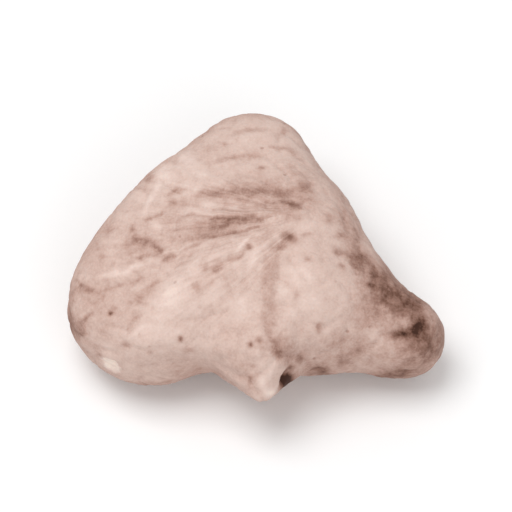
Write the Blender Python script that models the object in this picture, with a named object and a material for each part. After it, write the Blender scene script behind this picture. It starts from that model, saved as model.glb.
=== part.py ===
"""One dried, peeled water caltrop kernel: a plump wrinkled slab with two lobes, a blunt apex and an
embryo nib between the lobes. It lies on its back on Z = 0, with its grooved face up.

Sizes are in millimetres, and MM turns them into metres when the mesh is written.

Three frames are used, all in the order across, up, out:
  slab   across the lobes, along from the nib to the apex, and through the thickness
  face   the same, turned so that "out" is the direction from which the face is seen whole
  world  the face frame set down on the ground: +X across, +Y away from the nib, +Z up
"""

import math
import random
from dataclasses import dataclass

import bmesh
import bpy
import numpy as np
from mathutils import Vector, noise

MM = 0.001

# Driving dimensions
WIDTH = 32.0  # across the two lobes, at rest
FACE_ELEVATION = 60.0  # degrees above the ground from which the face is seen whole
SLAB_TILT = 25.0  # degrees that the slab leans back from that view
RESTS = ((-9.5, -5.0), (12.0, -6.2), (-0.5, 3.3))  # where the lobes and the belly touch the ground
REST_REACH = 3.0  # how far from such a place its lowest point may be
REST_DROP = 0.04  # how far the lowest of them stands proud of the round back

# Mesh
CELLS = 30  # grid cells along one edge of the cube that the surface is grown from
CAGE_RADII = (15.0, 11.5, 8.0)  # an ellipsoid near the surface, which spreads the grid evenly
HEART = (0.0, -3.4, 0.0)  # where the rays start, in the slab frame
REACH = 30.0  # farther out than any point of the kernel
HALVINGS = 34  # steps of the search for the surface along a ray
SQUARENESS = 2.2  # 2 is an ellipsoid; more gives a flatter face and a tighter rim
BLEND = 2.6  # how far two blobs melt into each other
SIDE_FADE = (-0.10, 0.35)  # outward share of a normal from which relief starts, and is whole
GROOVE_START_FADE = (-0.08, 0.22)  # shares of a groove's length over which it deepens
GROOVE_END_FADE = (1.08, 0.70)


@dataclass(frozen=True)
class Blob:
    """A rounded lump of the body: centre and radii in the slab frame, turned about its thickness."""

    centre: tuple
    radii: tuple
    turn: float = 0.0


@dataclass(frozen=True)
class Groove:
    """A shrinkage groove from start to end, seen square on, with its middle bowed sideways. With a
    depth below zero it is a ridge. A firmness over 2 gives it a flat floor."""

    start: tuple
    end: tuple
    bow: float
    width: float
    depth: float
    firmness: int = 2


@dataclass(frozen=True)
class Dent:
    """A round hollow, or with a depth below zero a bump, at a place in the face frame."""

    centre: tuple
    radii: tuple
    turn: float
    depth: float


BODY = Blob(centre=(-0.6, -1.5, 0.5), radii=(9.8, 9.3, 6.3))
BELLY = Blob(centre=(-0.3, 3.0, -1.5), radii=(7.8, 6.6, 5.75))
FLANKS = (
    Blob(centre=(-7.7, 1.2, 0.1), radii=(5.15, 10.4, 4.9), turn=-40.0),
    Blob(centre=(4.7, 0.3, 0.0), radii=(4.2, 8.4, 4.8), turn=36.0),
)
LOBES = (
    Blob(centre=(-9.7, -5.6, -1.2), radii=(6.2, 5.4, 5.5), turn=-28.0),  # the left lobe
    Blob(centre=(4.9, -4.85, -1.0), radii=(6.2, 5.4, 5.3), turn=2.0),  # the root of the right lobe
    Blob(centre=(8.6, -3.6, -0.9), radii=(4.6, 2.8, 4.2), turn=-42.0),  # its shoulder
    Blob(centre=(12.2, -7.25, -1.9), radii=(3.8, 3.2, 4.4)),  # its tip
)
APEX = Blob(centre=(-0.4, 7.8, 0.4), radii=(4.9, 5.1, 3.9), turn=-12.0)

NIB_ROOT = (0.3, -8.8, 1.0)
NIB_TIP = (0.4, -13.25, 0.9)
NIB_ROOT_RADIUS = 4.3
NIB_TIP_RADIUS = 1.1
NIB_BLEND = 1.3

# The cheeks beside the seam, the ridge of the left lobe and the knoll above the seam
SWELLINGS = (
    Dent(centre=(5.2, -3.6), radii=(4.6, 4.8), turn=0.0, depth=-0.55),
    Dent(centre=(-7.5, -5.0), radii=(5.8, 2.0), turn=48.0, depth=-0.50),
    Dent(centre=(3.6, 4.3), radii=(3.0, 2.6), turn=-30.0, depth=-0.45),
)
HOLLOWS = (
    Dent(centre=(3.6, -9.0), radii=(1.6, 2.4), turn=40.0, depth=0.60),
    Dent(centre=(3.0, -10.4), radii=(1.0, 1.1), turn=0.0, depth=0.25),
    Dent(centre=(-4.8, -10.0), radii=(2.4, 1.2), turn=0.0, depth=0.20),
    Dent(centre=(12.7, -7.0), radii=(2.4, 1.2), turn=8.0, depth=0.50),
    Dent(centre=(8.6, -0.6), radii=(3.4, 1.8), turn=-48.0, depth=0.55),
)
SEAM = Groove(start=(2.4, 0.9), end=(0.8, -6.9), bow=0.5, width=0.85, depth=0.16, firmness=4)
LOWER_RIM = Groove(start=(-12.2, -6.9), end=(0.2, -7.7), bow=-0.3, width=1.2, depth=-0.34)
WRINKLES = (
    Groove(start=(4.5, 5.0), end=(-7.2, 4.9), bow=0.6, width=0.95, depth=0.26),
    Groove(start=(1.4, 2.9), end=(-6.0, 2.2), bow=0.25, width=1.0, depth=0.32),
    Groove(start=(0.6, 1.7), end=(-8.5, 0.3), bow=0.3, width=0.8, depth=0.18),
    Groove(start=(0.1, 1.1), end=(-4.8, -1.7), bow=0.2, width=0.7, depth=0.15),
    Groove(start=(0.8, 2.3), end=(-4.1, -0.7), bow=0.2, width=0.7, depth=-0.12),
    Groove(start=(-6.0, -0.5), end=(-14.7, -2.9), bow=0.5, width=0.85, depth=0.22),
    Groove(start=(-7.7, -2.0), end=(-13.8, -4.9), bow=0.3, width=0.9, depth=0.20),
)

# The back's wrinkles fan out from a hub near the apex, in the slab frame. Pairs are least and most
BACK_HUB = (1.5, 4.5)
BACK_WRINKLES = 9
BACK_FAN = (150.0, 385.0)  # degrees, from the left flank round the crown to the right flank
BACK_STRAY = 0.2  # how far a wrinkle strays from its even place in the fan, in gaps
BACK_START = (2.0, 3.5)  # from the hub to where a wrinkle starts
BACK_LENGTH = (6.0, 10.0)
BACK_DEPTH = (0.204, 0.34)
BACK_BOW = 0.9  # to either side
BACK_WIDTH = 0.80
BACK_SEED = 11

# The dried flesh all round: soft lumps, and fine creases between smaller ones
LUMP_SIZE = 7.5
LUMP_HEIGHT = 0.42
CREASE_SIZE = 2.6
CREASE_HEIGHT = 0.10
CREASE_SHARPNESS = 4.0  # the more, the narrower a crease
LUMP_SEED = Vector((3.1, 7.7, 1.3))

KERNEL_COLOUR = (0.665, 0.497, 0.434, 1.0)
KERNEL_ROUGHNESS = 0.72


def turned(points, degrees, first, second):
    """The points turned from the first axis toward the second, by their column numbers."""
    angle = math.radians(degrees)
    result = points.copy()
    result[:, first] = points[:, first] * math.cos(angle) - points[:, second] * math.sin(angle)
    result[:, second] = points[:, first] * math.sin(angle) + points[:, second] * math.cos(angle)
    return result


def face_from_slab(points):
    return turned(points, -SLAB_TILT, 1, 2)


def world_from_face(points):
    """Tips the face back until it is seen whole from FACE_ELEVATION."""
    tipped = turned(points, FACE_ELEVATION, 2, 1)
    return np.stack([tipped[:, 0], -tipped[:, 2], tipped[:, 1]], axis=1)


def smoothstep(low, high, values):
    share = np.clip((values - low) / (high - low), 0.0, 1.0)
    return share * share * (3.0 - 2.0 * share)


def blob_distance(points, blob):
    """About the distance to the blob's surface, below zero inside it."""
    offset = turned(points - np.array(blob.centre), -blob.turn, 0, 1)
    scaled = np.abs(offset) / np.array(blob.radii)
    share = np.maximum((scaled**SQUARENESS).sum(axis=1) ** (1.0 / SQUARENESS), 1e-6)
    return np.linalg.norm(offset, axis=1) * (1.0 - 1.0 / share)


def nib_distance(points):
    """Distance to a round cone: a ball at the nib's root, one at its tip, and their hull."""
    root = np.array(NIB_ROOT)
    axis = np.array(NIB_TIP) - root
    length = np.linalg.norm(axis)
    slope = math.tan(math.asin((NIB_ROOT_RADIUS - NIB_TIP_RADIUS) / length))
    along = (points - root) @ axis / length
    aside = np.linalg.norm(points - root - along[:, None] * axis / length, axis=1)
    share = np.clip((along - slope * aside) / length, 0.0, 1.0)
    radius = NIB_ROOT_RADIUS + (NIB_TIP_RADIUS - NIB_ROOT_RADIUS) * share
    return np.linalg.norm(points - root - share[:, None] * axis, axis=1) - radius


def melted(first, second, blend):
    """The union of two distance fields, with the join filled as if soft."""
    share = np.clip(0.5 + 0.5 * (second - first) / blend, 0.0, 1.0)
    return second + (first - second) * share - blend * share * (1.0 - share)


def body_distance(points):
    """The whole smooth body, for points in the slab frame."""
    distance = blob_distance(points, BODY)
    for blob in (BELLY, *FLANKS, *LOBES, APEX):
        distance = melted(distance, blob_distance(points, blob), BLEND)
    return melted(distance, nib_distance(points), NIB_BLEND)


def surface_points(directions):
    """Where rays from the kernel's heart leave the body, in the slab frame."""
    inner = np.zeros(len(directions))
    outer = np.full(len(directions), REACH)
    for _ in range(HALVINGS):
        middle = (inner + outer) / 2.0
        inside = body_distance(np.array(HEART) + directions * middle[:, None]) < 0.0
        inner = np.where(inside, middle, inner)
        outer = np.where(inside, outer, middle)
    return np.array(HEART) + directions * inner[:, None]


def groove_share(across, up, groove):
    """1 along the groove's line, falling to 0 at its sides and its ends."""
    start = np.array(groove.start)
    run = np.array(groove.end) - start
    length = math.hypot(*run)
    along = ((across - start[0]) * run[0] + (up - start[1]) * run[1]) / length**2
    side = ((across - start[0]) * run[1] - (up - start[1]) * run[0]) / length
    bowed = side + groove.bow * 4.0 * along * (1.0 - along)  # a parabola, whole at the middle
    ends = smoothstep(*GROOVE_START_FADE, along) * smoothstep(*GROOVE_END_FADE, along)
    return np.exp(-((bowed / groove.width) ** groove.firmness)) * ends


def dent_share(across, up, dent):
    """1 at the dent's centre, falling to 0 outside its radii."""
    offset = np.stack([across - dent.centre[0], up - dent.centre[1]], axis=1)
    offset = turned(offset, -dent.turn, 0, 1)
    return np.exp(-((offset / np.array(dent.radii)) ** 2).sum(axis=1))


def face_relief(points, facing):
    """Seam, rim, wrinkles, swellings and hollows of the face, outward, for points in the face frame.
    facing is how far each normal points out of the face, from -1 to 1."""
    across, up = points[:, 0], points[:, 1]
    relief = np.zeros(len(points))
    for groove in (SEAM, LOWER_RIM, *WRINKLES):
        relief -= groove.depth * groove_share(across, up, groove)
    for dent in (*SWELLINGS, *HOLLOWS):
        relief -= dent.depth * dent_share(across, up, dent)
    return relief * smoothstep(*SIDE_FADE, facing)


def back_grooves():
    """The back's wrinkles, spread over their fan with a seeded draw of place, length, depth and bow."""
    draw = random.Random(BACK_SEED)
    first, last = BACK_FAN
    for index in range(BACK_WRINKLES):
        place = (index + draw.uniform(-BACK_STRAY, BACK_STRAY)) / (BACK_WRINKLES - 1)
        angle = math.radians(first + (last - first) * place)
        heading = np.array([math.cos(angle), math.sin(angle)])
        start = np.array(BACK_HUB) + heading * draw.uniform(*BACK_START)
        end = start + heading * draw.uniform(*BACK_LENGTH)
        depth = draw.uniform(*BACK_DEPTH)
        bow = draw.uniform(-BACK_BOW, BACK_BOW)
        yield Groove(tuple(start), tuple(end), bow, BACK_WIDTH, depth)


def back_relief(points, facing):
    """The wrinkles of the back, for points in the slab frame."""
    relief = np.zeros(len(points))
    for groove in back_grooves():
        relief -= groove.depth * groove_share(points[:, 0], points[:, 1], groove)
    return relief * smoothstep(*SIDE_FADE, -facing)


def all_round_relief(points):
    """Lumps and creases of the dried flesh, outward, in millimetres."""
    relief = np.empty(len(points))
    for index, point in enumerate(points):
        place = Vector(point)
        lumps = noise.noise(place / LUMP_SIZE + LUMP_SEED)
        creases = 1.0 - abs(noise.noise(place / CREASE_SIZE - LUMP_SEED)) * CREASE_SHARPNESS
        relief[index] = LUMP_HEIGHT * lumps - CREASE_HEIGHT * max(creases, 0.0)
    return relief


def settled(points):
    """The world points centred over the origin and set down on the ground, on one point of each
    lobe and one of the belly."""
    low, high = points.min(axis=0), points.max(axis=0)
    middle = (low + high) / 2.0
    points = points - np.array([middle[0], middle[1], low[2] - REST_DROP])
    for place in RESTS:
        away = np.linalg.norm(points[:, :2] - np.array(place), axis=1)
        near = np.flatnonzero(away < REST_REACH)
        points[near[points[near, 2].argmin()], 2] = 0.0
    return points


def grid_sphere():
    """A cube divided into a grid and blown up to a sphere, with even cells."""
    ball = bmesh.new()
    bmesh.ops.create_cube(ball, size=2.0)
    bmesh.ops.subdivide_edges(ball, edges=ball.edges[:], cuts=CELLS - 1, use_grid_fill=True)
    for vertex in ball.verts:
        evened = Vector([math.tan(value * math.pi / 4.0) for value in vertex.co])
        vertex.co = evened.normalized()
    return ball


def coordinates(mesh):
    return np.array([vertex.co for vertex in mesh.verts])


def move_to(mesh, points):
    for vertex, point in zip(mesh.verts, points):
        vertex.co = point
    mesh.normal_update()


def kernel_mesh():
    """The kernel's surface as a closed mesh in the world frame, in metres."""
    mesh = grid_sphere()
    directions = coordinates(mesh) * np.array(CAGE_RADII)
    directions /= np.linalg.norm(directions, axis=1)[:, None]
    points = surface_points(directions)
    move_to(mesh, points)
    normals = np.array([vertex.normal for vertex in mesh.verts])
    face_normals = face_from_slab(normals)
    relief = face_relief(face_from_slab(points), face_normals[:, 2])
    relief += back_relief(points, normals[:, 2]) + all_round_relief(points)
    points = world_from_face(face_from_slab(points + normals * relief[:, None]))
    points *= WIDTH / np.ptp(points[:, 0])
    move_to(mesh, settled(points) * MM)
    bmesh.ops.recalc_face_normals(mesh, faces=mesh.faces[:])
    bmesh.ops.triangulate(mesh, faces=mesh.faces[:], quad_method="SHORT_EDGE")
    return mesh


def kernel_material():
    material = bpy.data.materials.new("dried_flesh")
    material.use_nodes = True
    shader = material.node_tree.nodes["Principled BSDF"]
    shader.inputs["Base Color"].default_value = KERNEL_COLOUR
    shader.inputs["Roughness"].default_value = KERNEL_ROUGHNESS
    shader.inputs["Metallic"].default_value = 0.0
    return material


def build():
    for old in list(bpy.data.objects):
        bpy.data.objects.remove(old)
    mesh = kernel_mesh()
    data = bpy.data.meshes.new("kernel")
    mesh.to_mesh(data)
    mesh.free()
    data.shade_smooth()
    data.materials.append(kernel_material())
    kernel = bpy.data.objects.new("kernel", data)
    bpy.context.scene.collection.objects.link(kernel)


build()
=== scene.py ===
import math
import random

import bmesh
import bpy
import numpy as np
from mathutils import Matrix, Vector, noise


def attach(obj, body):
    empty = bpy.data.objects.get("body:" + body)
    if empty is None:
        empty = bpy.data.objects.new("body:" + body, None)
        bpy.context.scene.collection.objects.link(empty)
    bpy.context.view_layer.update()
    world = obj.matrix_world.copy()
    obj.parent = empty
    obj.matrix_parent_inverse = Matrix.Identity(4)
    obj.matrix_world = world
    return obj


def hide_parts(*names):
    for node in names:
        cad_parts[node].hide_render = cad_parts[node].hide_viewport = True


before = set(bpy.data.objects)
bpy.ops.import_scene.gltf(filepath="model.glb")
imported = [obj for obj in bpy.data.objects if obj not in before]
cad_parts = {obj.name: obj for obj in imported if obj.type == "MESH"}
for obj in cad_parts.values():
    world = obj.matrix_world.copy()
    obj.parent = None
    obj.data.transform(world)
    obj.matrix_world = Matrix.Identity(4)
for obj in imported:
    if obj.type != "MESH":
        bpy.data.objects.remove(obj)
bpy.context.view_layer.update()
print("frame loaded")

mm = 0.001   # a millimetre in metres


def turned(points, degrees, first, second):   # from the first axis toward the second
    angle = math.radians(degrees)
    result = points.copy()
    result[:, first] = points[:, first] * math.cos(angle) - points[:, second] * math.sin(angle)
    result[:, second] = points[:, first] * math.sin(angle) + points[:, second] * math.cos(angle)
    return result


def smoothstep(low, high, values):
    share = np.clip((values - low) / (high - low), 0.0, 1.0)
    return share * share * (3.0 - 2.0 * share)


def noiseAt(points, size, seed=(0.0, 0.0, 0.0)):   # smooth noise from -1 to 1 at each point
    places = points / size + np.array(seed)
    return np.array([noise.noise(Vector(place)) for place in places])


# The kernel's body, in millimetres: across the lobes, along from nib to apex, out through the slab.
body = {
    "width": 32.0,                     # across the lobes, at rest
    "faceElevation": 60.0,             # degrees above the ground from which the face is seen whole
    "slabTilt": 25.0,                  # degrees that the slab leans back from that view
    "cells": 128,                      # grid cells along one edge of the cube it grows from
    "cage": (15.0, 11.5, 8.0),         # spreads the grid evenly over the kernel
    "heart": (0.0, -3.4, 0.0),         # where the rays start that find the surface
    "reach": 30.0,                     # farther out than any point of the kernel
    "halvings": 30,                    # steps of the search along a ray
    "squareness": 2.2,                 # 2 is an ellipsoid; more gives a flatter face
    "tiny": 1e-6,                      # keeps a division from zero
    "blend": 2.6,                      # how far two blobs melt into each other
    "blobs": (                         # centre, radii, turn in degrees
        ((-0.6, -1.5, 0.5), (9.8, 9.3, 6.3), 0.0),
        ((-0.3, 3.0, -1.5), (7.8, 6.6, 5.75), 0.0),      # belly
        ((-7.7, 1.2, 0.1), (5.15, 10.4, 4.9), -40.0),    # left flank
        ((4.7, 0.3, 0.0), (4.2, 8.4, 4.8), 36.0),        # right flank
        ((-9.7, -5.6, -1.2), (6.2, 5.4, 5.5), -28.0),    # left lobe
        ((4.9, -4.85, -1.0), (6.2, 5.4, 5.3), 2.0),      # right lobe's root, shoulder and tip
        ((8.6, -3.6, -0.9), (4.6, 2.8, 4.2), -42.0),
        ((12.2, -7.25, -1.9), (3.8, 3.2, 4.4), 0.0),
        ((-0.4, 7.8, 0.4), (4.9, 5.1, 3.9), -12.0),      # apex
    ),
    "nibRoot": (0.3, -8.8, 1.0),
    "nibTip": (0.4, -13.25, 0.9),
    "nibRadii": (4.3, 1.1),            # at the root and at the tip
    "nibBlend": 1.3,
    "lumpSize": 7.5,
    "lumpHeight": 0.42,
    "creaseSize": 2.6,
    "creaseHeight": 0.10,
    "creaseSharpness": 4.0,            # the more, the narrower a crease
    "seed": Vector((3.1, 7.7, 1.3)),
}


def faceFromSlab(points):   # from the slab's own axes to those of the face as it is seen whole
    return turned(points, -body["slabTilt"], 1, 2)


def worldFromFace(points):   # from those to the ground's
    tipped = turned(points, body["faceElevation"], 2, 1)
    return np.stack([tipped[:, 0], -tipped[:, 2], tipped[:, 1]], axis=1)


def blobDistance(points, centre, radii, turn):
    offset = turned(points - np.array(centre), -turn, 0, 1)
    scaled = np.abs(offset) / np.array(radii)
    share = (scaled ** body["squareness"]).sum(axis=1) ** (1.0 / body["squareness"])
    return np.linalg.norm(offset, axis=1) * (1.0 - 1.0 / np.maximum(share, body["tiny"]))


def nibDistance(points):   # a round cone: a ball at the root, one at the tip, and their hull
    root = np.array(body["nibRoot"])
    axis = np.array(body["nibTip"]) - root
    length = np.linalg.norm(axis)
    wide, narrow = body["nibRadii"]
    slope = math.tan(math.asin((wide - narrow) / length))
    along = (points - root) @ axis / length
    aside = np.linalg.norm(points - root - along[:, None] * axis / length, axis=1)
    share = np.clip((along - slope * aside) / length, 0.0, 1.0)
    radius = wide + (narrow - wide) * share
    return np.linalg.norm(points - root - share[:, None] * axis, axis=1) - radius


def melted(first, second, blend):   # the union of two distances, with a soft join
    share = np.clip(0.5 + 0.5 * (second - first) / blend, 0.0, 1.0)
    return second + (first - second) * share - blend * share * (1.0 - share)


def bodyDistance(points):
    distance = blobDistance(points, *body["blobs"][0])
    for blob in body["blobs"][1:]:
        distance = melted(distance, blobDistance(points, *blob), body["blend"])
    return melted(distance, nibDistance(points), body["nibBlend"])


def surfacePoints(directions):   # where rays from the heart leave the body
    heart = np.array(body["heart"])
    inner = np.zeros(len(directions))
    outer = np.full(len(directions), body["reach"])
    for _ in range(body["halvings"]):
        middle = (inner + outer) / 2.0
        inside = bodyDistance(heart + directions * middle[:, None]) < 0.0
        inner = np.where(inside, middle, inner)
        outer = np.where(inside, outer, middle)
    return heart + directions * inner[:, None]


# The face's broad relief, in millimetres across and up as the face is seen whole.
face = {
    "sideFade": (-0.10, 0.35),         # how far a normal points out where relief begins, and is whole
    "grooveStart": (-0.08, 0.22),      # shares of a groove's length over which it deepens
    "grooveEnd": (1.08, 0.70),         # and over which it ends, from nothing back to whole
    "grooves": (                       # start, end, bow, width, depth, firmness
        ((2.4, 0.9), (0.8, -6.9), 0.50, 0.85, 0.16, 4),       # seam, with a flat floor
        ((4.5, 5.0), (-7.2, 4.9), 0.60, 0.95, 0.26, 2),
        ((1.4, 2.9), (-6.0, 2.2), 0.25, 1.00, 0.32, 2),
        ((0.6, 1.7), (-8.5, 0.3), 0.30, 0.80, 0.18, 2),
        ((0.1, 1.1), (-4.8, -1.7), 0.20, 0.70, 0.15, 2),      # scarp, and the crest above it
        ((0.8, 2.3), (-4.1, -0.7), 0.20, 0.70, -0.12, 2),
        ((-6.0, -0.5), (-14.7, -2.9), 0.50, 0.85, 0.22, 2),
        ((-7.7, -2.0), (-13.8, -4.9), 0.30, 0.90, 0.20, 2),
        ((-12.2, -6.9), (0.2, -7.7), -0.30, 1.20, -0.34, 2),  # the face's lower rim
    ),
    "dents": (                         # centre, radii, turn, depth; below zero is a swelling
        ((5.2, -3.6), (4.6, 4.8), 0.0, -0.55),
        ((-7.5, -5.0), (5.8, 2.0), 48.0, -0.50),
        ((3.6, 4.3), (3.0, 2.6), -30.0, -0.45),
        ((3.6, -9.0), (1.6, 2.4), 40.0, 0.60),
        ((3.0, -10.4), (1.0, 1.1), 0.0, 0.25),
        ((-4.8, -10.0), (2.4, 1.2), 0.0, 0.20),
        ((12.7, -7.0), (2.4, 1.2), 8.0, 0.50),
        ((8.6, -0.6), (3.4, 1.8), -48.0, 0.55),
    ),
}


def grooveShare(across, up, start, end, bow, width, firmness=2):   # 1 on its line, fading beside it
    start = np.array(start)
    run = np.array(end) - start
    length = math.hypot(*run)
    along = ((across - start[0]) * run[0] + (up - start[1]) * run[1]) / length**2
    side = ((across - start[0]) * run[1] - (up - start[1]) * run[0]) / length
    bowed = side + bow * 4.0 * along * (1.0 - along)   # a parabola, whole at the middle
    ends = smoothstep(*face["grooveStart"], along) * smoothstep(*face["grooveEnd"], along)
    return np.exp(-((bowed / width) ** firmness)) * ends


def spotShare(across, up, centre, radii, turn):   # 1 at the spot's centre, fading round it
    offset = np.stack([across - centre[0], up - centre[1]], axis=1)
    offset = turned(offset, -turn, 0, 1)
    return np.exp(-((offset / np.array(radii)) ** 2).sum(axis=1))


# The back's wrinkles, fanned from a hub near the apex, in millimetres.
back = {
    "hub": (1.5, 4.5),
    "wrinkles": 9,
    "fan": (150.0, 385.0),             # degrees, from the left flank round the crown to the right
    "stray": 0.2,                      # how far a wrinkle strays from its even place, in gaps
    "start": (2.0, 3.5),               # least and most, from the hub to where a wrinkle starts
    "length": (6.0, 10.0),
    "depth": (0.204, 0.34),
    "bow": 0.9,                        # at most, to either side
    "width": 0.80,
    "seed": 11,
}


def backGrooves():   # the back's wrinkles, as grooves
    draw = random.Random(back["seed"])
    first, last = back["fan"]
    for index in range(back["wrinkles"]):
        place = (index + draw.uniform(-back["stray"], back["stray"])) / (back["wrinkles"] - 1)
        angle = math.radians(first + (last - first) * place)
        heading = np.array([math.cos(angle), math.sin(angle)])
        start = np.array(back["hub"]) + heading * draw.uniform(*back["start"])
        end = start + heading * draw.uniform(*back["length"])
        depth = draw.uniform(*back["depth"])
        bow = draw.uniform(-back["bow"], back["bow"])
        yield start, end, bow, back["width"], depth


def broadRelief(points, facePoints, facing, backing):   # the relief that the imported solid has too
    across, up = facePoints[:, 0], facePoints[:, 1]
    shown = np.zeros(len(points))
    for start, end, bow, width, depth, firmness in face["grooves"]:
        shown -= depth * grooveShare(across, up, start, end, bow, width, firmness)
    for centre, radii, turn, depth in face["dents"]:
        shown -= depth * spotShare(across, up, centre, radii, turn)
    hidden = np.zeros(len(points))
    for start, end, bow, width, depth in backGrooves():
        hidden -= depth * grooveShare(points[:, 0], points[:, 1], start, end, bow, width)
    lumps = noiseAt(points, body["lumpSize"], body["seed"])
    creases = np.abs(noiseAt(points, body["creaseSize"], -body["seed"]))
    creases = np.maximum(1.0 - creases * body["creaseSharpness"], 0.0)
    relief = shown * smoothstep(*face["sideFade"], facing)
    relief += hidden * smoothstep(*face["sideFade"], -backing)
    return relief + body["lumpHeight"] * lumps - body["creaseHeight"] * creases


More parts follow.
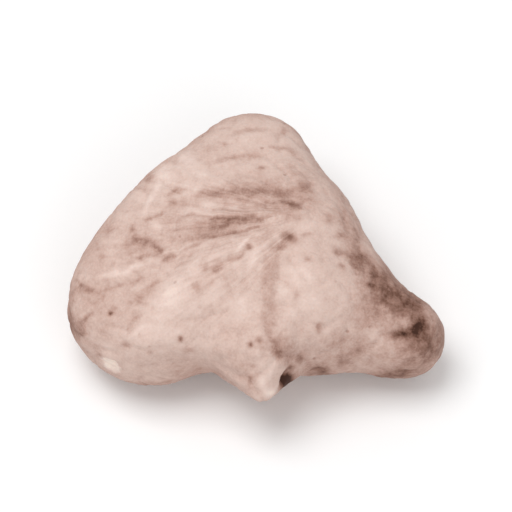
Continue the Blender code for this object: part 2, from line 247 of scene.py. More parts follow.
# The fine skin of the dried flesh. Sizes, depths and heights are in millimetres.
skin = {
    "faceFan": ((5.1, 3.4), 193.0),    # the hub that the face's wrinkles leave, and their heading
    "faceSpread": (24.0, 44.0),        # degrees to each side: whole to the first, gone at the second
    "backFan": ((1.5, 4.5), 268.0),
    "backSpread": (70.0, 105.0),
    "fanReach": (1.6, 4.5, 13.0, 20.0),    # from the hub: begins, whole, still whole, ends
    "streakFrom": (0.0, 0.45),         # how far a normal points out where streaks begin, and are whole
    "streakRates": (4.5, 10.5),        # wrinkles in a radian, broad and fine
    "streakHeights": (0.085, 0.045),
    "streakDraw": 28.0,                # a wrinkle's length in mm, times its rate
    "streakSharpness": 3.2,
    "streakSeed": 2.7,
    "flowScale": 10.0,                 # mm of flow in a radian of the fan
    "folds": 9,                        # folds on the crown behind the nib
    "foldHeight": 0.045,
    "foldReach": (0.9, 2.2, 3.0, 7.0),     # from the nib's tip: begins, whole, still whole, ends
    "foldCrown": (-1.0, 1.5),          # from the nib's root toward the apex: still whole, gone
    "foldSway": (0.25, 1.3),           # how far the folds sway, and how often
    "puckerSize": 1.25,
    "puckerHeight": 0.045,
    "puckerSharpness": 3.0,
    "puckerSeed": (4.4, 1.9, 7.3),
    "awayHeight": 0.060,               # more, where no drawn marks are
    "grainSize": 0.55,
    "grainHeight": 0.020,
    "grainSeed": (0.3, 5.5, 2.6),
    "waver": 0.16,                     # how far the drawn marks wander
    "waverSize": 1.1,
    "waverSeeds": ((9.2, 0.4, 2.2), (1.5, 6.1, 8.8)),   # across and up
    "shownFrom": (-0.30, 0.05),        # how far a normal points out where marks begin, and are whole
    "lineEnds": (0.4, 0.6),            # a line's share of its width at its ends; how slowly it widens
    "bandWidth": 0.60,                 # lines wider than this are bands, with firm edges
    "lineFirmness": 2,
    "bandFirmness": 4,
    "markDepth": 2.0,                  # a spot's reach in depth, in its radii
    "markSlack": 0.35,                 # and in mm beyond that
    "chip": ((-12.6, -9.4), 0.86, 0.12),   # centre, radius, depth
    "chipEdge": (1.12, 0.90, 0.45),    # radii at which it begins, and is whole; how ragged
    "pit": ((2.6, -10.8), 0.75, 0.50),     # centre, radius, depth
    "palest": 1.6,                     # the tone below zero at which paleness is full
    "blurRounds": 30,                  # of the relief, which the hollows and ridges are taken from
    "hollowShadeFrom": (0.01, 0.14),        # depth below the blurred relief at which the hollows' painted shade begins, and is whole
    "ridgeFrom": (0.01, 0.10),         # height above it
    "sideShadeFrom": (0.62, 0.0),           # how far a normal points out where the sides' darkening begins, and is whole: painted shade, and brown skin left on the sides
    "lines": (                         # path, half width, depth, tone: below zero is paler
        # upper furrow
        (((3.1, 5.2), (1.0, 5.5), (-1.1, 5.6), (-2.7, 5.5), (-4.1, 5.3), (-5.6, 5.2)), 0.47, 0.06, 0.34),
        (((-6.1, 5.5), (-7.1, 5.5), (-7.8, 5.0)), 0.23, 0.05, 0.38),
        (((3.8, 3.8), (2.9, 4.3), (2.0, 4.6)), 0.33, 0.04, 0.34),
        # middle furrow
        (((-0.3, 3.4), (-1.3, 3.2), (-2.2, 3.1), (-3.1, 3.0), (-4.1, 3.1)), 0.39, 0.08, 0.50),
        (((1.2, 3.1), (0.4, 3.1), (-0.4, 3.3)), 0.19, 0.04, 0.30),
        (((-4.1, 3.2), (-5.6, 3.4), (-6.8, 3.4)), 0.19, 0.04, 0.24),
        # third furrow
        (((0.2, 2.4), (-1.1, 2.1), (-2.5, 1.9), (-3.9, 1.6), (-5.6, 1.3), (-7.4, 1.2)), 0.25, 0.05, 0.28),
        (((-4.6, 2.4), (-6.2, 2.3), (-7.9, 2.1)), 0.21, 0.03, 0.18),
        (((-4.4, 1.1), (-5.6, 0.7), (-6.8, 0.1)), 0.19, 0.03, 0.18),
        (((-6.9, 0.0), (-7.6, -0.2), (-8.2, -0.5)), 0.27, 0.05, 0.42),
        # left cluster
        (((-11.0, 1.3), (-10.1, 1.3), (-9.1, 1.2)), 0.39, 0.04, 0.29),
        (((-9.1, 1.1), (-8.7, 0.7), (-8.1, 0.3)), 0.35, 0.04, 0.40),
        (((-8.2, 3.5), (-8.9, 3.1), (-9.7, 2.9)), 0.23, 0.03, 0.32),
        (((-10.5, 2.5), (-10.9, 1.8)), 0.23, 0.03, 0.36),
        (((-7.7, 0.7), (-8.7, 0.1), (-9.7, -0.1), (-10.8, -0.2)), 0.21, 0.03, 0.24),
        # left flank
        (((-8.4, -1.4), (-10.1, -2.1), (-12.2, -2.6), (-14.0, -3.2)), 0.25, 0.03, 0.17),
        (((-13.6, -3.4), (-14.6, -2.9), (-15.5, -2.2)), 0.31, 0.04, 0.32),
        (((-8.3, -1.9), (-9.2, -2.8), (-9.9, -3.9)), 0.31, 0.03, 0.18),
        (((-14.1, -4.8), (-14.8, -5.5), (-15.3, -6.3)), 0.25, 0.04, 0.28),
        (((-10.3, -5.3), (-11.2, -6.5)), 0.25, 0.03, 0.14),
        # scarp: its dark lines are painted shadow cast by the fold above, and its pale line is painted
        # highlight on the fold's lit crest
        (((-1.0, 0.3), (-1.6, -0.3), (-2.7, -0.6)), 0.21, 0.05, 0.28),
        (((-2.7, -0.8), (-3.3, -1.2), (-3.9, -1.5)), 0.33, 0.04, 0.25),
        (((-3.9, -1.2), (-4.6, -1.4)), 0.21, 0.03, 0.22),
        (((-0.5, 1.6), (-1.1, 1.0), (-1.9, 0.1)), 0.18, -0.04, -0.80),
        # seam
        (((2.5, 1.2), (1.6, 0.5), (1.2, -0.5), (1.1, -1.5), (1.0, -2.8),
          (0.9, -5.0), (1.0, -6.5), (1.0, -6.9)), 0.76, 0.02, 0.20),
        (((1.9, 1.7), (2.7, 1.4), (3.5, 1.6)), 0.33, 0.03, 0.36),
        (((2.5, 0.9), (1.7, 0.5)), 0.31, 0.03, 0.24),
        (((3.6, 1.7), (4.9, 1.6)), 0.16, 0.02, 0.18),
        # under the face: painted shade where it turns down
        (((-12.2, -9.8), (-9.1, -9.6), (-6.0, -9.3), (-3.1, -9.0), (-0.4, -9.0)), 1.24, 0.00, 0.08),
        # hollow beside the nib: painted shade in it
        (((1.3, -7.1), (1.8, -8.0), (2.5, -8.8), (2.9, -9.7)), 0.58, 0.04, 0.28),
        (((2.9, -8.6), (4.2, -9.2)), 0.49, 0.03, 0.18),
        # lobe's crack
        (((11.2, -6.8), (12.4, -6.9), (13.9, -7.1)), 0.41, 0.12, 0.20),
        (((8.4, 2.4), (8.8, 0.7), (9.6, -0.9), (11.3, -2.9)), 0.49, 0.03, 0.30),
        # foot of the left lobe: a painted contact shadow
        (((-11.8, -10.8), (-10.3, -11.2), (-8.7, -11.2), (-7.2, -11.0)), 0.21, 0.02, 0.18),
        # apex
        (((-3.5, 7.8), (-1.9, 8.4), (0.2, 8.5)), 0.27, 0.04, 0.22),
        (((1.0, 9.3), (2.5, 9.1), (4.1, 8.1)), 0.23, 0.04, 0.24),
        (((-2.5, 10.2), (-0.8, 10.9), (1.0, 10.7)), 0.25, 0.04, 0.16),
        # pale streaks
        (((-8.1, 6.1), (-8.9, 5.1), (-9.8, 3.2)), 0.25, -0.03, -0.60),
        (((-9.9, -0.7), (-11.4, -1.4), (-13.6, -1.7)), 0.31, -0.04, -0.70),
        (((-4.7, -1.1), (-6.0, -1.6), (-7.3, -2.0)), 0.21, -0.03, -0.18),
        (((-9.5, -6.0), (-11.1, -7.2)), 0.23, -0.03, -0.50),
        # nib's crest
        (((0.8, -8.2), (1.4, -9.3), (1.1, -10.5)), 0.41, -0.04, -0.36),
    ),
    "patches": (                       # centre, radii, turn, tone
        # along the furrows: broad darkening, partly painted shade on the slopes below the furrows
        ((-3.4, 2.4), (1.40, 0.49), 6, 0.29),
        ((-1.3, 2.7), (1.44, 0.33), 8, 0.16),
        ((2.8, 3.3), (1.15, 0.62), -10, 0.20),
        ((-1.1, 4.9), (1.44, 0.45), 0, 0.23),
        ((-1.9, 5.3), (0.74, 0.41), 0, 0.14),
        ((1.8, 4.9), (2.68, 0.87), -8, 0.22),
        ((0.4, 4.1), (2.88, 0.62), 4, 0.18),
        ((2.6, 5.3), (0.58, 0.37), -12, 0.20),
        ((3.3, 4.0), (0.49, 0.29), -28, 0.30),
        ((4.0, 5.6), (0.78, 0.70), -35, 0.32),
        # painted shadow on the hill at the fan's hub, as from a kernel lying above it
        ((4.3, 4.2), (1.24, 1.65), -20, 0.10),
        ((-7.3, 4.5), (0.37, 0.29), 0, 0.26),
        ((-5.8, 1.3), (0.33, 0.23), 0, 0.20),
        ((-4.4, 1.8), (3.30, 1.24), 10, 0.15),
        ((-8.1, 2.8), (1.85, 0.82), 20, 0.10),
        ((-5.5, 5.1), (0.41, 0.25), 0, 0.10),
        ((-6.2, 2.9), (2.47, 0.49), -2, 0.18),
        ((-0.6, 2.5), (0.78, 0.74), 0, 0.12),
        ((1.2, 2.9), (2.27, 0.62), 0, 0.11),
        ((0.6, 1.3), (0.70, 1.03), 0, 0.12),
        # left cluster and flank
        ((-9.5, 1.3), (0.33, 0.25), 0, 0.18),
        ((-9.9, 0.9), (0.58, 0.31), 0, 0.12),
        ((-11.0, 0.8), (0.70, 0.54), 20, 0.22),
        ((-9.7, 1.3), (2.06, 1.34), -10, 0.13),
        ((-12.7, 2.0), (0.99, 0.66), 52, 0.26),
        # the next two: painted shade toward the left edge
        ((-13.8, -0.3), (1.24, 2.68), 12, 0.10),
        ((-14.0, -4.8), (1.65, 2.27), 0, 0.16),
        ((-13.7, 0.6), (0.25, 0.37), 0, 0.16),
        ((-13.3, -0.2), (0.33, 0.21), 35, 0.16),
        ((-12.1, 0.6), (0.37, 0.19), -10, 0.14),
        ((-6.3, -0.9), (0.58, 0.74), 0, 0.10),
        ((-9.2, 6.4), (0.37, 0.70), -30, 0.34),
        ((-10.0, -3.6), (0.78, 0.54), 30, 0.20),
        ((-10.1, -4.9), (1.85, 1.15), -20, 0.11),
        ((-10.9, -1.5), (1.24, 1.03), 0, 0.07),
        ((-11.1, -0.3), (0.82, 0.54), 0, 0.12),
        ((-4.5, -0.8), (0.82, 0.66), 30, 0.15),
        ((-10.5, -6.3), (0.91, 1.24), 0, 0.09),
        # left rim
        ((-15.1, -2.7), (0.54, 0.49), 0, 0.24),
        ((-16.0, -5.7), (0.41, 1.96), 0, 0.32),
        ((-15.7, -3.4), (0.49, 0.95), 0, 0.18),
        ((-15.3, -6.3), (0.66, 0.87), 15, 0.42),
        ((-13.5, -6.5), (0.49, 0.45), 0, 0.14),
        ((-14.0, -7.9), (0.54, 0.49), -30, 0.16),
        # specks
        ((-15.0, -6.8), (0.23, 0.21), 0, 0.50),
        ((-12.7, -5.0), (0.25, 0.21), 0, 0.66),
        ((-12.2, -4.5), (0.27, 0.19), 35, 0.22),
        ((-5.0, -2.8), (0.39, 0.39), 0, 0.32),
        ((-4.8, -4.4), (0.23, 0.21), 0, 0.16),
        ((-6.5, -7.0), (0.25, 0.25), 0, 0.70),
        ((-11.2, -7.7), (0.45, 0.23), 0, 0.26),
        ((-13.6, -8.6), (0.29, 0.23), 0, 0.32),
        ((-9.1, -8.2), (0.23, 0.21), 0, 0.22),
        ((-5.9, -7.9), (0.41, 0.21), 0, 0.22),
        ((-0.6, -7.7), (0.25, 0.23), 0, 0.74),
        ((0.2, -7.3), (0.27, 0.29), 0, 0.44),
        ((-0.7, 0.7), (0.27, 0.31), 0, 0.40),
        ((-0.4, -9.5), (0.27, 0.25), 0, 0.20),
        ((-0.6, -10.5), (0.25, 0.37), 0, 0.26),
        ((2.9, 1.2), (0.58, 0.39), 0, 0.32),
        ((3.2, -3.6), (0.19, 0.45), 0, 0.16),
        ((-1.2, -6.2), (0.82, 0.70), 0, 0.10),
        ((0.9, -5.8), (0.66, 1.03), 0, 0.10),
        ((4.2, -0.5), (0.31, 0.25), 0, 0.24),
        ((5.2, -6.2), (0.27, 0.45), 0, 0.32),
        ((6.0, 3.0), (0.35, 0.45), 20, 0.30),
        ((7.0, 1.6), (0.45, 0.31), 10, 0.30),
        ((6.8, 0.3), (0.43, 0.35), -10, 0.46),
        ((7.2, -1.0), (0.37, 0.29), 0, 0.30),
        ((9.7, -2.5), (0.29, 0.25), 0, 0.90),
        # apex
        ((3.1, 7.1), (1.11, 0.62), -30, 0.16),
        ((0.4, 7.4), (0.29, 0.23), 0, 0.36),
        ((-2.8, 9.4), (0.25, 0.23), 0, 0.34),
        ((2.3, 10.7), (0.35, 0.25), 20, 0.26),
        ((-1.1, 9.8), (1.24, 0.66), 15, -0.42),
        ((1.6, 11.6), (1.03, 0.62), 0, -0.30),
        ((-3.9, 9.0), (0.82, 0.49), 30, 0.12),
        # under the face and on the nib's left side: painted shade where they turn down
        ((-6.6, -9.7), (0.91, 1.03), 0, 0.07),
        ((-0.6, -11.0), (0.91, 0.95), -40, 0.20),
        ((-1.2, -9.8), (1.11, 0.91), 20, 0.12),
        # pit beside the nib and the hollow above it: painted shade in them
        ((2.7, -11.1), (0.60, 0.60), 30, 1.38),
        ((3.2, -10.0), (0.33, 0.47), -35, 0.55),
        ((1.9, -7.9), (1.15, 0.95), 0, 0.42),
        # right of the nib
        ((3.1, -8.8), (1.15, 0.91), -12, 0.10),
        ((4.0, -9.1), (0.41, 0.49), 0, 0.26),
        ((5.5, -10.0), (1.03, 0.74), -32, 0.50),
        ((8.6, -8.0), (0.70, 0.33), 14, 0.26),
        ((7.4, -8.9), (0.78, 0.70), 0, 0.30),
        ((6.8, -8.5), (3.71, 1.44), 0, 0.14),
        ((7.0, -7.3), (1.65, 0.82), 8, 0.19),
        # lobe's crack and its blot
        ((12.4, -6.8), (1.19, 0.62), -4, 0.56),
        ((13.8, -6.3), (0.70, 0.95), -8, 1.10),
        # right flank and lobe: brown stains, and painted shadow, as from a kernel lying against them
        ((8.5, 0.0), (0.99, 0.37), -8, 0.42),
        ((8.3, -0.7), (0.37, 0.54), 10, 0.34),
        ((11.0, -3.5), (0.82, 0.87), 0, 0.34),
        ((10.7, -2.2), (2.47, 1.24), -42, 0.52),
        ((12.4, -4.4), (1.98, 1.19), -37, 0.62),
        ((14.9, -7.5), (1.11, 1.85), -12, 0.56),
        ((12.8, -9.0), (2.68, 1.52), 10, 0.31),
        ((9.9, -5.3), (2.06, 2.88), -12, 0.27),
        ((11.9, -10.4), (2.06, 0.54), 5, 0.50),
        ((7.7, 2.6), (0.91, 2.68), 18, 0.26),
        ((1.0, 6.4), (3.30, 0.70), 0, 0.12),
        ((8.8, -0.5), (0.74, 0.74), 0, 0.24),
        ((9.4, -4.0), (1.24, 1.34), 0, 0.17),
        ((9.2, -2.0), (0.95, 0.62), -42, 0.15),
        ((13.5, -4.7), (1.34, 0.93), -40, 0.34),
        ((12.9, -7.7), (1.34, 0.74), 0, 0.27),
        ((14.2, -7.8), (1.03, 1.03), 0, 0.12),
        # rubbed pale, with painted highlight on the cheek, the left ridge and the nib
        ((-7.2, -3.3), (1.07, 1.48), -34, -0.60),
        ((-8.7, -5.4), (1.94, 0.78), 44, -0.34),
        ((-7.8, -6.6), (0.95, 0.70), 0, -0.34),
        ((-1.5, -4.3), (0.74, 0.95), 15, -0.46),
        ((-3.5, -3.2), (0.37, 1.44), -8, -0.24),
        ((3.8, -1.9), (1.15, 1.03), -20, -0.44),
        ((2.1, -3.1), (0.54, 0.74), 0, -0.46),
        ((4.4, -3.9), (0.91, 0.87), 25, -0.44),
        ((2.9, -4.9), (0.74, 0.45), 10, -0.40),
        ((-8.1, 6.9), (0.74, 0.82), 30, -0.95),
        ((-6.1, 8.2), (0.78, 0.99), 25, -0.75),
        ((-4.8, 7.0), (0.82, 0.62), 0, -0.36),
        ((-5.3, 5.8), (0.49, 0.41), 0, -0.30),
        ((-4.1, 4.3), (0.54, 0.33), 0, -0.52),
        ((-5.9, 3.8), (1.03, 0.27), 8, -0.34),
        ((-8.6, 2.3), (0.45, 0.41), 0, -0.56),
        ((-0.3, -0.1), (0.31, 0.70), -20, -0.50),
        ((-0.1, 0.7), (0.23, 0.21), 0, -0.40),
        ((4.3, 2.6), (1.03, 0.54), 10, -0.34),
        ((1.4, 2.9), (0.66, 0.25), 0, -0.40),
        ((0.4, -10.8), (0.45, 0.54), 0, -0.85),
        ((1.1, -11.8), (0.47, 0.43), 0, -1.10),
        ((10.5, -7.1), (0.78, 0.74), 0, -0.34),
    ),
}


def fanPlace(across, up, fan, spread):   # angle from the fan's heading, distance, and share of it
    hub, heading = fan
    side = across - hub[0]
    rise = up - hub[1]
    facingWay = math.radians(heading)
    ahead = side * math.cos(facingWay) + rise * math.sin(facingWay)
    aside = rise * math.cos(facingWay) - side * math.sin(facingWay)
    angle = np.arctan2(aside, ahead)
    distance = np.hypot(side, rise)
    begins, whole, still, ends = skin["fanReach"]
    share = smoothstep(math.radians(spread[1]), math.radians(spread[0]), np.abs(angle))
    share *= smoothstep(begins, whole, distance) * smoothstep(ends, still, distance)
    return angle, distance, share


def wrinkleFlow(points, across, up, facing, backing):   # the stronger fan at each point
    faceAngle, faceDistance, faceShare = fanPlace(across, up, skin["faceFan"], skin["faceSpread"])
    backAngle, backDistance, backShare = fanPlace(
        points[:, 0], points[:, 1], skin["backFan"], skin["backSpread"])
    faceShare *= smoothstep(*skin["streakFrom"], facing)
    backShare *= smoothstep(*skin["streakFrom"], -backing)
    onFace = faceShare > backShare
    angle = np.where(onFace, faceAngle, backAngle)
    distance = np.where(onFace, faceDistance, backDistance)
    return angle, distance, np.maximum(faceShare, backShare)


def streakRelief(angle, distance):   # fine wrinkles along the fan
    relief = np.zeros(len(angle))
    seed = np.full(len(angle), skin["streakSeed"])
    for rate, height in zip(skin["streakRates"], skin["streakHeights"]):
        flow = np.stack([angle * rate, distance * rate / skin["streakDraw"], seed], axis=1)
        relief += height * (1.0 - skin["streakSharpness"] * np.abs(noiseAt(flow, 1.0)))
    return relief


def nibFolds(points):   # folds from the nib's tip out over the crown
    side = points[:, 0] - body["nibTip"][0]
    through = points[:, 2] - body["nibTip"][2]
    distance = np.hypot(side, through)
    begins, whole, still, ends = skin["foldReach"]
    share = smoothstep(begins, whole, distance) * smoothstep(ends, still, distance)
    low, high = skin["foldCrown"]
    crown = smoothstep(body["nibRoot"][1] + high, body["nibRoot"][1] + low, points[:, 1])
    sway, swayRate = skin["foldSway"]
    angle = np.arctan2(through, side) + sway * np.sin(distance * swayRate)
    return skin["foldHeight"] * np.cos(skin["folds"] * angle) * share * crown


def puckerRelief(points, shown):   # small creases all over, deeper where no drawn marks are
    creases = np.abs(noiseAt(points, skin["puckerSize"], skin["puckerSeed"]))
    creases = np.maximum(1.0 - skin["puckerSharpness"] * creases, 0.0)
    return -(skin["puckerHeight"] + skin["awayHeight"] * (1.0 - shown)) * creases


def wandering(points, facePoints):   # the face's places, moved a little so that no mark is ruled
    acrossSeed, upSeed = skin["waverSeeds"]
    across = facePoints[:, 0] + skin["waver"] * noiseAt(points, skin["waverSize"], acrossSeed)
    up = facePoints[:, 1] + skin["waver"] * noiseAt(points, skin["waverSize"], upSeed)
    return np.stack([across, up, facePoints[:, 2]], axis=1)


def shownPoint(facePoints, facing, place):   # the point of the shown surface at a place on the face
    gap = np.hypot(facePoints[:, 0] - place[0], facePoints[:, 1] - place[1])
    return facePoints[np.argmin(np.where(facing < 0.0, np.inf, gap))]


def depthShare(facePoints, facing, centre, radii):   # keeps a spot from running down a steep side
    depth = facePoints[:, 2] - shownPoint(facePoints, facing, centre)[2]
    return np.exp(-((depth / (skin["markDepth"] * max(radii) + skin["markSlack"])) ** 2))


def reachFrom(facePoints, facing, centre, radius):   # distance from a place on the face, in radii
    return np.linalg.norm(facePoints - shownPoint(facePoints, facing, centre), axis=1) / radius


def pathShare(across, up, path, width):   # 1 on a drawn line, less at its ends
    nearest = np.full(len(across), np.inf)
    place = np.zeros(len(across))
    legs = list(zip(path, path[1:]))
    for index, (start, end) in enumerate(legs):
        run = np.subtract(end, start)
        share = ((across - start[0]) * run[0] + (up - start[1]) * run[1]) / (run @ run)
        share = np.clip(share, 0.0, 1.0)
        gap = np.hypot(across - start[0] - share * run[0], up - start[1] - share * run[1])
        closer = gap < nearest
        nearest = np.where(closer, gap, nearest)
        place = np.where(closer, (index + share) / len(legs), place)
    narrow, slowness = skin["lineEnds"]
    middleness = np.sin(np.pi * np.clip(place, 0.0, 1.0))   # 0 at the ends, 1 halfway along
    taper = narrow + (1.0 - narrow) * middleness ** slowness
    firmness = skin["bandFirmness"] if width > skin["bandWidth"] else skin["lineFirmness"]
    return np.exp(-((nearest / (width * taper)) ** firmness)) * taper


def drawnMarks(moved, facing, shown):   # how deep, how dark and how pale the drawn marks are
    across, up = moved[:, 0], moved[:, 1]
    marks = [(pathShare(across, up, path, width), depth, tone)
             for path, width, depth, tone in skin["lines"]]
    for centre, radii, turn, tone in skin["patches"]:
        share = spotShare(across, up, centre, radii, turn)
        marks.append((share * depthShare(moved, facing, centre, radii), 0.0, tone))
    deep = np.zeros(len(moved))
    plain = np.ones(len(moved))        # what the dark marks leave of the plain tone
    pale = np.zeros(len(moved))
    for share, depth, tone in marks:
        deep += depth * share * shown
        plain *= 1.0 - np.clip(tone * share * shown, 0.0, 1.0)
        pale += max(-tone, 0.0) * share * shown
    return deep, 1.0 - plain, pale


def chipShare(points, moved, facing):   # 1 inside the chip, with a ragged edge
    none, whole, ragged = skin["chipEdge"]
    reach = reachFrom(moved, facing, *skin["chip"][:2])
    return smoothstep(none, whole, reach + ragged * noiseAt(points, skin["grainSize"]))


def readPoints(mesh):
    flat = np.empty(len(mesh.vertices) * 3, dtype=np.float32)
    mesh.vertices.foreach_get("co", flat)
    return flat.reshape(-1, 3).astype(float)


def writePoints(mesh, points):
    mesh.vertices.foreach_set("co", points.astype(np.float32).ravel())
    mesh.update()


def readNormals(mesh):
    flat = np.empty(len(mesh.vertices) * 3, dtype=np.float32)
    mesh.vertex_normals.foreach_get("vector", flat)
    return flat.reshape(-1, 3).astype(float)


def gridSphere():   # a cube divided into a grid and blown up to a sphere, with even cells
    ball = bmesh.new()
    bmesh.ops.create_cube(ball, size=2.0)
    bmesh.ops.subdivide_edges(ball, edges=ball.edges[:], cuts=body["cells"] - 1, use_grid_fill=True)
    mesh = bpy.data.meshes.new("kernelSkin")
    ball.to_mesh(mesh)
    ball.free()
    spots = readPoints(mesh)
    spots = np.tan(spots * math.pi / 4.0)
    writePoints(mesh, spots / np.linalg.norm(spots, axis=1)[:, None])
    return mesh


def growBody():   # the smooth body, with its points and normals as the slab lies
    mesh = gridSphere()
    directions = readPoints(mesh) * np.array(body["cage"])
    directions /= np.linalg.norm(directions, axis=1)[:, None]
    points = surfacePoints(directions)
    writePoints(mesh, points)
    print("body grown", len(points))
    return mesh, points, readNormals(mesh)


def blurred(values, mesh, rounds):   # each value moves halfway to its neighbours' mean, again and again
    pairs = np.empty(len(mesh.edges) * 2, dtype=np.int32)
    mesh.edges.foreach_get("vertices", pairs)
    first, second = pairs.reshape(-1, 2).T
    count = np.bincount(first, minlength=len(values)) + np.bincount(second, minlength=len(values))
    for _ in range(rounds):
        total = np.bincount(first, values[second], len(values))
        total += np.bincount(second, values[first], len(values))
        values = 0.5 * values + 0.5 * total / count
    return values


def keepMask(mesh, name, values):   # a mask that the finish finds by its name
    layer = mesh.attributes.new(name, "FLOAT", "POINT")
    layer.data.foreach_set("value", np.clip(values, 0.0, 1.0).astype(np.float32))


def keepFlow(mesh, angle, distance):   # where the finish finds the lie of the wrinkles, in mm
    layer = mesh.attributes.new("flow", "FLOAT_VECTOR", "POINT")
    flow = np.stack([angle * skin["flowScale"], distance, np.zeros(len(angle))], axis=1)
    layer.data.foreach_set("vector", flow.astype(np.float32).ravel())


def settled(points):   # centred over the origin, with the lowest point on the floor
    low, high = points.min(axis=0), points.max(axis=0)
    middle = (low + high) / 2.0
    return points - np.array([middle[0], middle[1], low[2]])


def makeKernel():
    mesh, points, normals = growBody()
    facePoints = faceFromSlab(points)
    facing = faceFromSlab(normals)[:, 2]   # how far each normal points out of the face
    backing = normals[:, 2]                # above zero toward the face, below zero toward the back
    shown = smoothstep(*skin["shownFrom"], facing)
    moved = wandering(points, facePoints)

    angle, distance, streak = wrinkleFlow(points, moved[:, 0], moved[:, 1], facing, backing)
    deep, dark, pale = drawnMarks(moved, facing, shown)
    chip = chipShare(points, moved, facing)
    pit = np.exp(-reachFrom(moved, facing, *skin["pit"][:2]) ** 2)
    fine = streakRelief(angle, distance) * streak + nibFolds(points) + puckerRelief(points, shown)
    fine += skin["grainHeight"] * noiseAt(points, skin["grainSize"], skin["grainSeed"])
    fine -= deep + skin["chip"][2] * chip + skin["pit"][2] * pit
    relief = broadRelief(points, facePoints, facing, backing) + fine
    print("relief laid", round(fine.min(), 3), round(fine.max(), 3))

    hollow = blurred(relief, mesh, skin["blurRounds"]) - relief
    # the drawn marks' darkness: stains, and painted shade and shadow
    keepMask(mesh, "dark", dark)
    keepMask(mesh, "pale", np.maximum(pale / skin["palest"], chip))
    # painted shade in the hollows
    keepMask(mesh, "hollow", smoothstep(*skin["hollowShadeFrom"], hollow))
    keepMask(mesh, "ridge", smoothstep(*skin["ridgeFrom"], -hollow))
    # the sides darker: painted shade, and brown skin left on them
    keepMask(mesh, "side", smoothstep(*skin["sideShadeFrom"], facing))
    keepMask(mesh, "streak", streak)
    keepMask(mesh, "away", 1.0 - shown)
    keepFlow(mesh, angle, distance)

    placed = worldFromFace(faceFromSlab(points + normals * relief[:, None]))
    placed *= body["width"] / np.ptp(placed[:, 0])
    writePoints(mesh, settled(placed) * mm)
    mesh.shade_smooth()
    kernel = bpy.data.objects.new("kernelSkin", mesh)
    bpy.context.scene.collection.objects.link(kernel)
    return kernel


def fromScreen(red, green, blue):   # a screen colour, 0 to 255, as the light it stands for
    shares = [value / 255.0 for value in (red, green, blue)]
    return [s / 12.92 if s <= 0.04045 else ((s + 0.055) / 1.055) ** 2.4 for s in shares] + [1.0]


class Wire:   # one output of a node; sums and products of wires add Math nodes
    def __init__(self, finish, socket):
        self.finish = finish
        self.socket = socket

    def maths(self, operation, first, second):
        return self.finish.add("Math", {"operation": operation}, {0: first, 1: second})

    def __add__(self, other):
        return self.maths("ADD", self, other)

    def __sub__(self, other):
        return self.maths("SUBTRACT", self, other)

    def __rsub__(self, other):
        return self.maths("SUBTRACT", other, self)

    def __mul__(self, other):
        return self.maths("MULTIPLY", self, other)

    __radd__ = __add__
    __rmul__ = __mul__


class Finish:   # a material and the nodes that make it
    def __init__(self, name):
        self.material = bpy.data.materials.new(name)
        self.material.use_nodes = True
        self.tree = self.material.node_tree
        self.shader = self.tree.nodes["Principled BSDF"]

    def plug(self, value, socket):
        if isinstance(value, Wire):
            self.tree.links.new(value.socket, socket)
        else:
            socket.default_value = value

    def add(self, kind, settings=None, inputs=None, output=0):
        node = self.tree.nodes.new("ShaderNode" + kind)
        for key, value in (settings or {}).items():
            if key == "stops":
                ramp = node.color_ramp
                while len(ramp.elements) < len(value):
                    ramp.elements.new(0.5)
                for element, (position, colour) in zip(ramp.elements, value):
                    element.position = position
                    element.color = colour
            else:
                setattr(node, key, value)
        for key, value in (inputs or {}).items():
            self.plug(value, node.inputs[key])
        return Wire(self, node.outputs[output])

    def noise(self, place, size, detail, roughness):   # size in mm, place in metres
        return self.add("TexNoise", None, {
            "Vector": place, "Scale": 1.0 / (size * mm), "Detail": detail, "Roughness": roughness,
        })

    def streaks(self, flow, width, length, detail, roughness):   # noise drawn out along the flow
        drawn = self.add("VectorMath", {"operation": "MULTIPLY"},
                         {0: flow, 1: (1.0 / width, 1.0 / length, 1.0)})
        return self.add("TexNoise", None, {
            "Vector": drawn, "Scale": 1.0, "Detail": detail, "Roughness": roughness,
        })

    def step(self, value, low, high):   # 0 below low, 1 above high, smooth between
        return self.add("MapRange", {"interpolation_type": "SMOOTHSTEP"}, {
            "Value": value, "From Min": low, "From Max": high, "To Min": 0.0, "To Max": 1.0,
        })

    def mask(self, name):   # a mask that makeKernel keeps on the mesh
        return self.add("Attribute", {"attribute_name": name}, output="Fac")


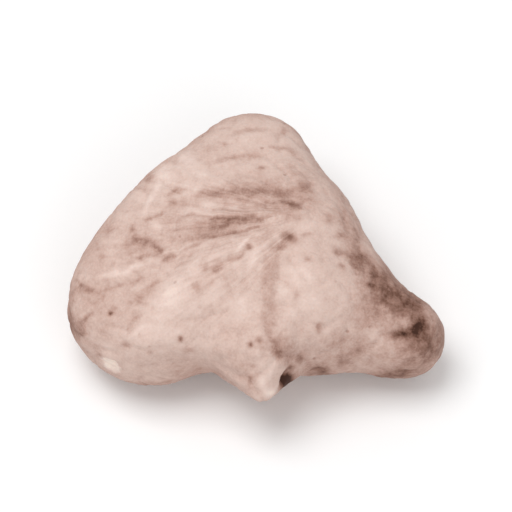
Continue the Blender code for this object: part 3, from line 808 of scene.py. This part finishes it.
# The flesh's colour and grain. A noise is its size in mm, its detail and its roughness. A pair named
# From is where a step begins and is whole.
flesh = {
    "stops": (                         # from the darkest stain to the palest chalk
        (0.00, fromScreen(66, 40, 30)),
        (0.12, fromScreen(108, 75, 62)),
        (0.28, fromScreen(148, 114, 101)),
        (0.44, fromScreen(185, 153, 141)),
        (0.60, fromScreen(208, 182, 171)),
        (0.76, fromScreen(222, 199, 189)),
        (1.00, fromScreen(237, 218, 205)),
    ),
    "tone": 0.605,                     # a place along the stops; what follows moves it
    "cloud": 0.14,
    "cloudNoise": (3.4, 2.0, 0.5),
    "mottle": 0.20,
    "mottleNoise": (0.70, 3.0, 0.6),
    "speckle": 0.19,
    "speckleNoise": (0.20, 2.0, 0.6),
    "streak": 0.42,
    "broadStreak": (0.75, 7.0, 2.0, 0.55),     # width and length in mm, detail, roughness
    "fineStreak": (0.32, 4.5, 2.0, 0.55),
    "streakShare": 0.6,                # of each of the two
    "pale": 0.38,
    "palePatchy": (0.85, 0.30),        # the least of it, and how much more the mottling adds
    # the drawn marks' darkness: stains, and painted shade and shadow
    "dark": 0.60,
    "darkPatchy": (0.87, 0.26),
    "patchyFrom": (0.35, 0.65),
    "ridge": 0.05,
    # painted shade in the hollows
    "hollow": 0.13,
    # darkens the sides: painted shade, and brown skin left on them
    "side": 0.15,
    "pore": 0.16,
    "poreGap": 1.5,                    # mm from one pore to the next
    "poreFrom": (0.14, 0.05),          # from a pore's middle, in gaps
    "poreNoise": (2.1, 1.0, 0.5),      # where the pores lie together
    "poreNoiseFrom": (0.52, 0.62),
    "stain": 0.15,                     # where no drawn marks are
    "stainNoise": (4.6, 3.0, 0.6),
    "stainFrom": (0.50, 0.68),
    "roughness": 0.72,
    "roughVary": 0.14,
    "grainHeight": 0.030,              # mm
    "speckleShare": 0.5,               # of the speckle in the grain's height
    "streakHeight": 0.035,
    "poreDepth": 0.040,
    "innerGlow": 0.08,                 # light that the flesh lets through
    "glowRadius": (1.0, 0.55, 0.4),
    "glowScale": 0.0008,               # metres
    "gloss": 0.15,
}


def fleshTone(made, place, mottle, speckle, drawn, pore):   # where along the stops each point is
    cloud = made.noise(place, *flesh["cloudNoise"])
    least, more = flesh["palePatchy"]
    pale = made.mask("pale") * (least + more * made.step(mottle, *flesh["patchyFrom"]))
    least, more = flesh["darkPatchy"]
    dark = made.mask("dark") * (least + more * made.step(mottle, *reversed(flesh["patchyFrom"])))
    stain = made.step(made.noise(place, *flesh["stainNoise"]), *flesh["stainFrom"])

    tone = flesh["tone"] + flesh["cloud"] * (cloud - 0.5)
    tone = tone + flesh["mottle"] * (mottle - 0.5) + flesh["speckle"] * (speckle - 0.5)
    tone = tone + flesh["streak"] * drawn + flesh["pale"] * pale + flesh["ridge"] * made.mask("ridge")
    # the hollows' darkening here is painted shade
    tone = tone - flesh["dark"] * dark - flesh["hollow"] * made.mask("hollow")
    # darker on the sides: painted shade, and brown skin left on them
    tone = tone - flesh["side"] * made.mask("side") - flesh["pore"] * pore
    return tone - made.mask("away") * (flesh["stain"] * stain)


def fleshFinish():
    made = Finish("driedFlesh")
    place = made.add("TexCoord", output="Object")
    mottle = made.noise(place, *flesh["mottleNoise"])
    speckle = made.noise(place, *flesh["speckleNoise"])
    flow = made.add("Attribute", {"attribute_name": "flow"}, output="Vector")
    broad = made.streaks(flow, *flesh["broadStreak"]) - 0.5
    fine = made.streaks(flow, *flesh["fineStreak"]) - 0.5
    drawn = made.mask("streak") * (flesh["streakShare"] * broad + flesh["streakShare"] * fine)
    pores = made.add("TexVoronoi", None, {
        "Vector": place, "Scale": 1.0 / (flesh["poreGap"] * mm), "Randomness": 1.0,
    })
    pore = made.step(pores, *flesh["poreFrom"])
    pore = pore * made.step(made.noise(place, *flesh["poreNoise"]), *flesh["poreNoiseFrom"])

    tone = fleshTone(made, place, mottle, speckle, drawn, pore)
    colour = made.add("ValToRGB", {"stops": flesh["stops"]}, {"Fac": tone})
    rough = flesh["roughness"] + flesh["roughVary"] * (mottle - 0.5)
    height = (flesh["grainHeight"] * mm) * (mottle + flesh["speckleShare"] * speckle)
    height = height + (flesh["streakHeight"] * mm) * drawn
    height = height - (flesh["poreDepth"] * mm) * pore
    bump = made.add("Bump", None, {"Strength": 1.0, "Distance": 1.0, "Height": height})
    made.plug(colour, made.shader.inputs["Base Color"])
    made.plug(rough, made.shader.inputs["Roughness"])
    made.plug(bump, made.shader.inputs["Normal"])
    made.shader.inputs["Subsurface Weight"].default_value = flesh["innerGlow"]
    made.shader.inputs["Subsurface Radius"].default_value = flesh["glowRadius"]
    made.shader.inputs["Subsurface Scale"].default_value = flesh["glowScale"]
    made.shader.inputs["Specular IOR Level"].default_value = flesh["gloss"]
    return made.material


kernel = makeKernel()
kernel.data.materials.append(fleshFinish())
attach(kernel, "root")
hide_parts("kernel")
print("kernel made")


# The floor, the lights and the camera, in metres and watts.
studio = {
    "floorColour": (0.93, 0.93, 0.93, 1.0),
    "floorRoughness": 0.9,
    "floorSize": 2.0,
    "floorDrop": 0.00002,              # just below the kernel
    "skyColour": (1.0, 1.0, 1.0, 1.0),
    "skyLight": 0.56,
    "keyPower": 0.85,
    "keyPlace": (-0.10, 0.02, 0.38),
    "keySize": 0.22,
    "fillPower": 0.28,
    "fillPlace": (0.10, -0.30, 0.24),
    "fillSize": 0.30,
    "lens": 400.0,                     # mm, and so is the sensor
    "sensor": 36.0,
    "clipStart": 0.01,
    "elevation": 60.0,                 # degrees that the camera looks down
    "share": 0.735,                    # of the picture's width that the kernel takes
}


def makeFloor():
    sheet = bmesh.new()
    bmesh.ops.create_grid(sheet, x_segments=1, y_segments=1, size=studio["floorSize"] / 2.0)
    mesh = bpy.data.meshes.new("floor")
    sheet.to_mesh(mesh)
    sheet.free()
    floor = bpy.data.objects.new("floor", mesh)
    floor.location.z = -studio["floorDrop"]
    bpy.context.scene.collection.objects.link(floor)
    paper = Finish("paleFloor")
    paper.shader.inputs["Base Color"].default_value = studio["floorColour"]
    paper.shader.inputs["Roughness"].default_value = studio["floorRoughness"]
    floor.data.materials.append(paper.material)


def makeLight(name, place, power, size):   # a square soft box that faces the origin
    lamp = bpy.data.lights.new(name, "AREA")
    lamp.energy = power
    lamp.size = size
    lightObject = bpy.data.objects.new(name, lamp)
    lightObject.location = place
    lightObject.rotation_euler = (-Vector(place)).to_track_quat("-Z", "Y").to_euler()
    bpy.context.scene.collection.objects.link(lightObject)


def makeSky():
    world = bpy.data.worlds.new("softSky")
    bpy.context.scene.world = world
    world.use_nodes = True
    sky = world.node_tree.nodes["Background"]
    sky.inputs["Color"].default_value = studio["skyColour"]
    sky.inputs["Strength"].default_value = studio["skyLight"]


def makeCamera(target):   # looks down on the target's middle, from so far that it takes its share
    points = readPoints(target.data)
    tilt = math.radians(studio["elevation"])
    rise = points[:, 1] * math.sin(tilt) + points[:, 2] * math.cos(tilt)
    depth = points[:, 1] * math.cos(tilt) - points[:, 2] * math.sin(tilt)
    centre = (rise.min() + rise.max()) / 2.0
    middle = (depth.min() + depth.max()) / 2.0
    lens = bpy.data.cameras.new("camera")
    lens.lens = studio["lens"]
    lens.sensor_width = studio["sensor"]
    lens.clip_start = studio["clipStart"]
    away = np.ptp(points[:, 0]) / studio["share"] * lens.lens / lens.sensor_width
    camera = bpy.data.objects.new("camera", lens)
    reach = middle - away
    camera.location = (0.0,
                       centre * math.sin(tilt) + reach * math.cos(tilt),
                       centre * math.cos(tilt) - reach * math.sin(tilt))
    camera.rotation_euler = (math.pi / 2.0 - tilt, 0.0, 0.0)
    bpy.context.scene.collection.objects.link(camera)
    bpy.context.scene.camera = camera


makeFloor()
makeSky()
makeLight("key", studio["keyPlace"], studio["keyPower"], studio["keySize"])
makeLight("fill", studio["fillPlace"], studio["fillPower"], studio["fillSize"])
makeCamera(kernel)
bpy.context.scene.view_settings.view_transform = "Standard"
print("studio set")
